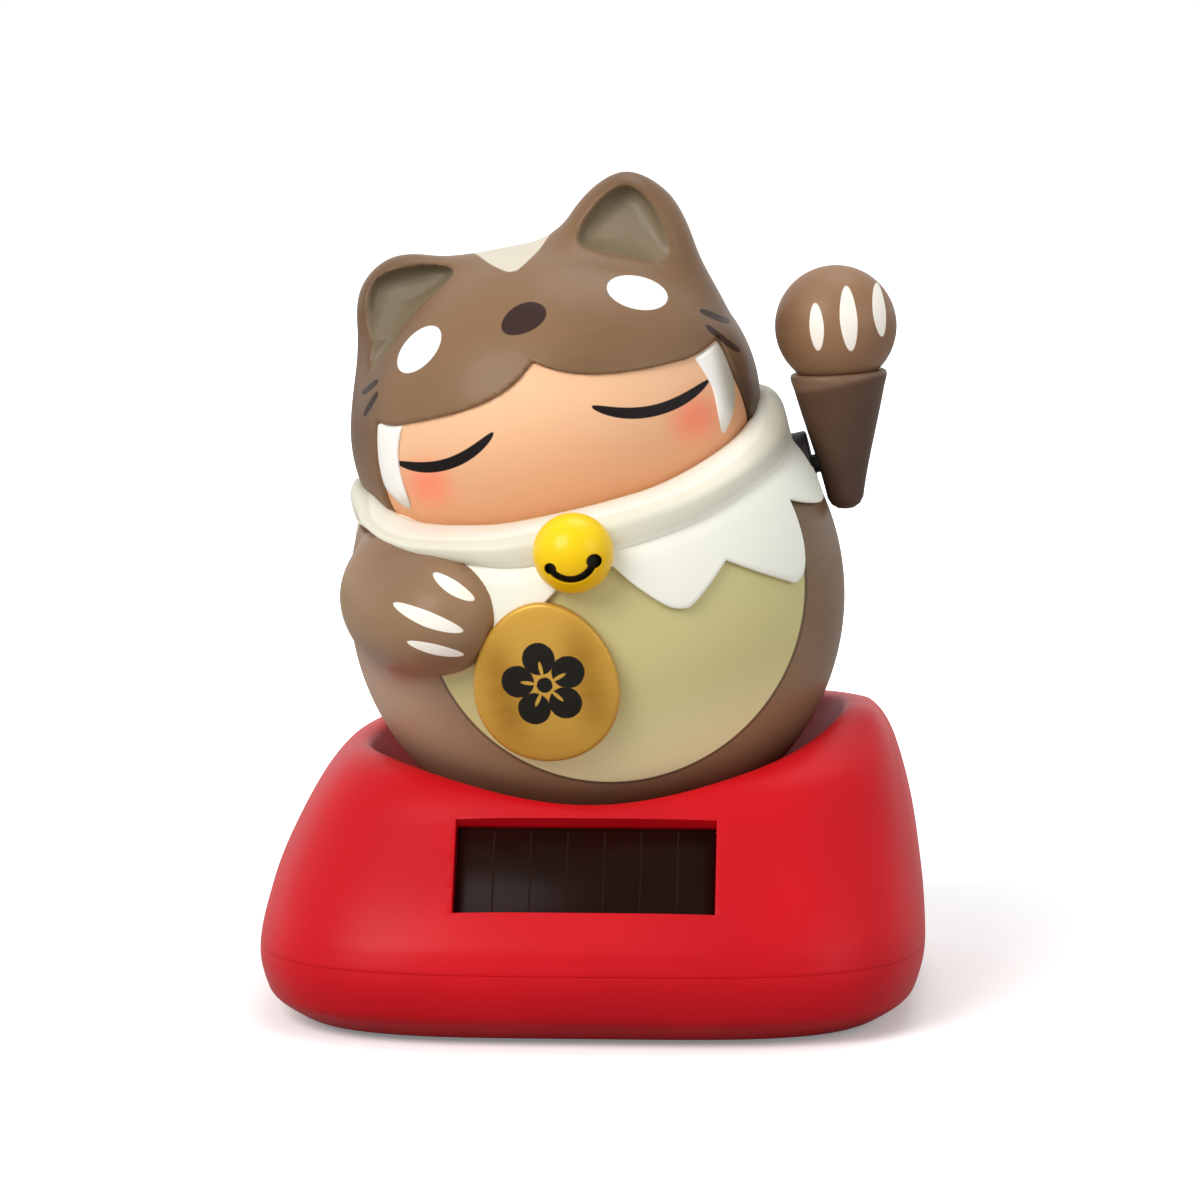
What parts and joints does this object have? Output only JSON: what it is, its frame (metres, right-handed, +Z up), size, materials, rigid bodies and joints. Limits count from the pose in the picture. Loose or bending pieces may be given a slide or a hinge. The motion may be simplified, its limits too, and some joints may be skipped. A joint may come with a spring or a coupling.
{
  "type": "lucky cat figurine",
  "caption": "Solar desk ornament: a lucky cat figurine that rocks on a pin in a square base, with a waving raised paw, a collar bell and a coin.",
  "frame": {"origin": "on the surface it stands on, under the middle of the base", "axes": "+Z up, the cat faces -Y, +X to the right of someone who looks at the cat's face"},
  "size_m": [0.088, 0.0826, 0.1095],
  "materials": {
    "red_shell": "satin red injection moulding",
    "brown_shell": "satin brown paint on plastic",
    "skin_face": "soft satin skin-coloured paint",
    "ivory_trim": "satin ivory",
    "white_collar": "satin warm white",
    "yellow_bell": "glossy yellow",
    "gold_coin": "brushed gold paint",
    "cell_glass": "dark brown solar cell under clear glass",
    "foot_rubber": "matt",
    "steel": "plain zinc",
    "magnet_nickel": "nickel plated",
    "white_nylon": "natural nylon",
    "board_green": "green circuit board",
    "coil_copper": "enamelled copper winding",
    "chip_black": "black epoxy",
    "bush_black": "black moulded plastic",
    "capacitor_can": "dark sleeve",
    "lead_red": "red insulation",
    "lead_black": "black insulation"
  },
  "bodies": {
    "base": {"base_shell": "red_shell", "bottom_cover": "red_shell", "solar_cell": "cell_glass", "pivot_yoke": "white_nylon", "circuit_board": "board_green", "coil_bobbin": "white_nylon", "drive_coil": "coil_copper", "control_chip": "chip_black", "storage_capacitor": "capacitor_can", "cell_lead_red": "lead_red", "cell_lead_black": "lead_black", "rubber_foot_1": "foot_rubber", "case_screw_1": "steel", "rubber_foot_2": "foot_rubber", "case_screw_2": "steel", "rubber_foot_3": "foot_rubber", "case_screw_3": "steel", "rubber_foot_4": "foot_rubber", "case_screw_4": "steel", "yoke_screw_1": "steel", "board_screw_1": "steel", "yoke_screw_2": "steel", "board_screw_2": "steel"},
    "figure": {"body_front_shell": "brown_shell", "body_rear_shell": "brown_shell", "hood_front_shell": "brown_shell", "hood_rear_shell": "brown_shell", "face_plate": "skin_face", "tusk_left": "ivory_trim", "tusk_right": "ivory_trim", "collar_cape": "white_collar", "shoulder_bush": "bush_black", "bell": "yellow_bell", "lucky_coin": "gold_coin", "pivot_pin": "steel", "magnet_carrier": "white_nylon", "drive_magnet": "magnet_nickel", "balance_weight_left": "steel", "balance_weight_right": "steel"},
    "arm": {"forearm": "brown_shell", "raised_paw": "brown_shell", "arm_axle": "steel", "arm_lever": "white_nylon", "arm_weight": "steel"}
  },
  "joints": [
    {"name": "figure_rock", "type": "hinge", "parent": "base", "child": "figure", "pos_m": [0, 0, 0.0532], "axis": [0, 1, 0], "range_deg": [0, 26]},
    {"name": "arm_wave", "type": "hinge", "parent": "figure", "child": "arm", "pos_m": [0.02682, 0, 0.07037], "axis": [0.9744, 0, 0.225], "range_deg": [-20, 20]}
  ]
}
